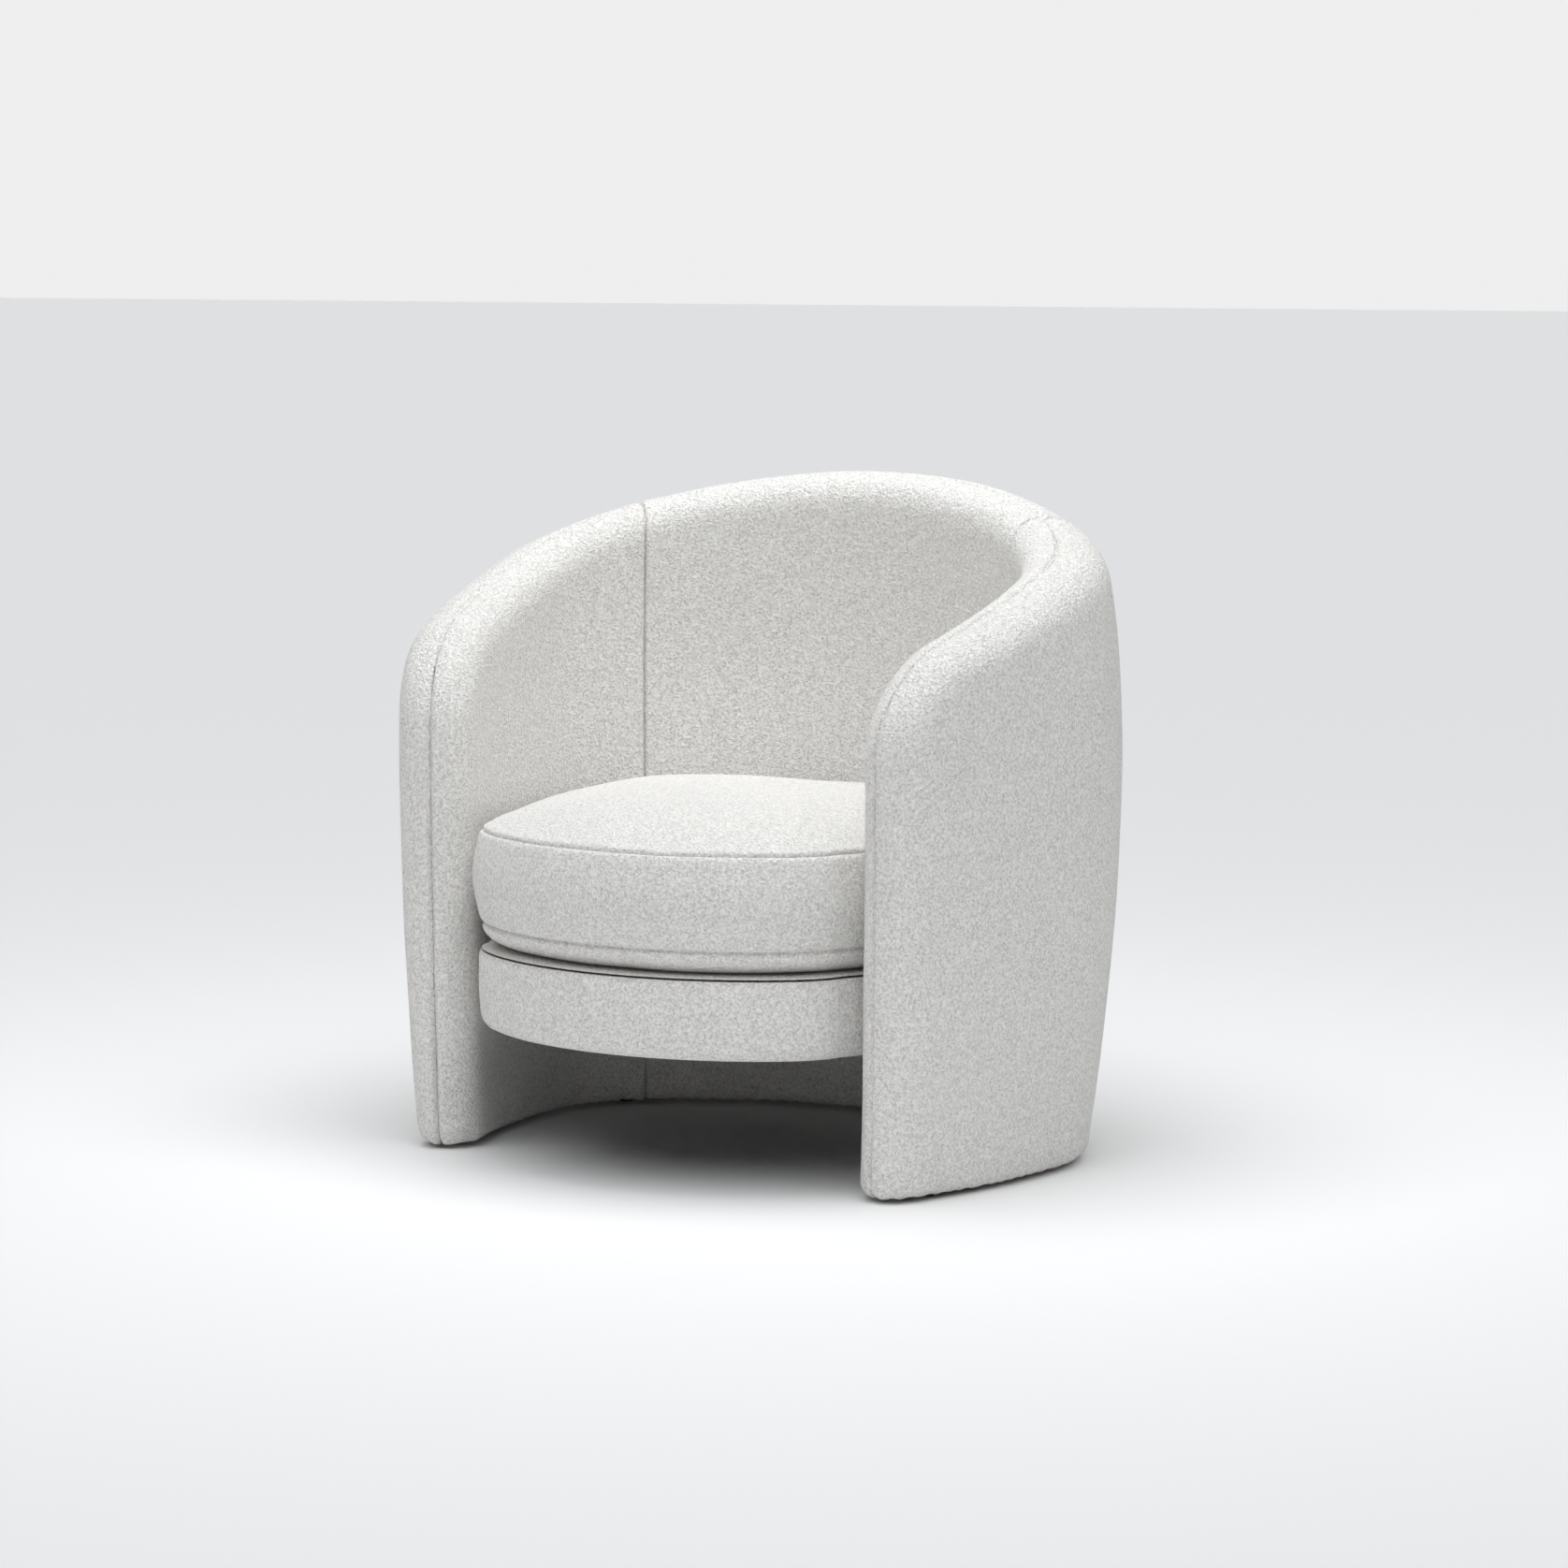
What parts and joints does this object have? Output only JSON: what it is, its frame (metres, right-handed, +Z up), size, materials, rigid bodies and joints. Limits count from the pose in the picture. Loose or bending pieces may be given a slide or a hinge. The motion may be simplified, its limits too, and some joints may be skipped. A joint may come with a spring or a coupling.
{
  "type": "upholstered armchair",
  "caption": "Barrel armchair whose padded wall curves round as arms and back down to the floor, with a round-fronted seat base and a loose zipped cushion.",
  "frame": {"origin": "on the floor, under the middle of the chair's bounding box", "axes": "+Z up, the open front faces -Y, +X to the sitter's left (the viewer's right when facing the chair)"},
  "size_m": [0.8242, 0.6776, 0.76],
  "materials": {
    "cover_boucle": "matte",
    "deck_cloth": "matte",
    "foam": "matte",
    "fibreboard": "matte",
    "plywood": "satin",
    "spring_steel": "satin",
    "cambric": "matte",
    "zip_tape": "matte",
    "zip_metal": "satin",
    "glide_plastic": "satin"
  },
  "bodies": {
    "root": {"outer_cover_left": "cover_boucle", "outer_cover_back": "cover_boucle", "outer_cover_right": "cover_boucle", "inner_cover_left": "cover_boucle", "inner_cover_back": "cover_boucle", "inner_cover_right": "cover_boucle", "seat_base_cover": "cover_boucle", "deck_cloth": "deck_cloth", "outer_foam": "foam", "inner_foam": "foam", "base_foam": "foam", "deck_pad": "foam", "outer_board": "fibreboard", "inner_board": "fibreboard", "base_rail": "plywood", "top_rail": "plywood", "arm_panel_left": "plywood", "arm_panel_right": "plywood", "back_rib_1": "plywood", "back_rib_2": "plywood", "back_rib_3": "plywood", "back_rib_4": "plywood", "back_rib_5": "plywood", "back_rib_6": "plywood", "seat_front_rail": "plywood", "seat_back_rail": "plywood", "seat_side_rail_left": "plywood", "seat_side_rail_right": "plywood", "corner_block_1": "plywood", "corner_block_2": "plywood", "corner_block_3": "plywood", "corner_block_4": "plywood", "seat_spring_1": "spring_steel", "seat_spring_2": "spring_steel", "seat_spring_3": "spring_steel", "seat_spring_4": "spring_steel", "seat_spring_5": "spring_steel", "spring_clip_1": "spring_steel", "spring_clip_2": "spring_steel", "spring_clip_3": "spring_steel", "spring_clip_4": "spring_steel", "spring_clip_5": "spring_steel", "spring_clip_6": "spring_steel", "spring_clip_7": "spring_steel", "spring_clip_8": "spring_steel", "spring_clip_9": "spring_steel", "spring_clip_10": "spring_steel", "dust_cover": "cambric", "glide_1": "glide_plastic", "glide_2": "glide_plastic", "glide_3": "glide_plastic", "glide_4": "glide_plastic", "glide_5": "glide_plastic"},
    "cushion": {"cushion_cover": "cover_boucle", "cushion_foam": "foam", "zip_tape": "zip_tape"},
    "zip_pull": {"zip_slider": "zip_metal"}
  },
  "joints": [
    {"name": "cushion_lift", "type": "slide", "parent": "root", "child": "cushion", "axis": [0, 0, 1], "range_m": [0, 0.2]},
    {"name": "zip_run", "type": "hinge", "parent": "cushion", "child": "zip_pull", "pos_m": [0, -0.20798, 0.321], "axis": [0, 0, 1], "range_deg": [0, 30.7]}
  ]
}
